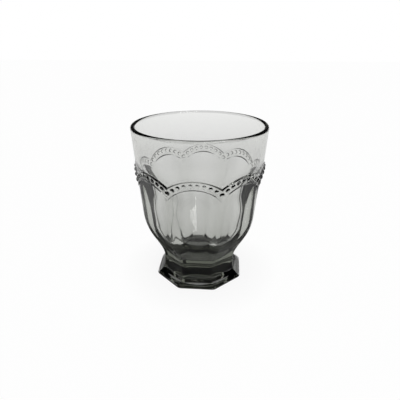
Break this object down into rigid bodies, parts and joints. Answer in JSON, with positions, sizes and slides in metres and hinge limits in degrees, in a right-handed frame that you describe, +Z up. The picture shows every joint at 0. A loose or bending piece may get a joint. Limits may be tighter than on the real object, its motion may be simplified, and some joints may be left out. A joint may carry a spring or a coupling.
{
  "type": "footed tumbler",
  "caption": "Footed drinking tumbler of smoke-grey pressed glass, with arch-topped panels under a beaded scalloped band, an octagonal collar and a flared octagonal foot.",
  "frame": {"origin": "centre of the foot's underside, on the surface that the glass stands on", "axes": "+Z up along the glass's axis to the rim; -Y looks out of the middle of one panel"},
  "size_m": [0.082, 0.082, 0.1],
  "materials": {
    "smoke_glass": "pressed and fire-polished, clear, smoke grey"
  },
  "bodies": {
    "root": {"rim": "smoke_glass", "upper_wall": "smoke_glass", "panelled_bowl": "smoke_glass", "scalloped_band": "smoke_glass", "band_beads": "smoke_glass", "collar": "smoke_glass", "foot": "smoke_glass"}
  },
  "joints": []
}
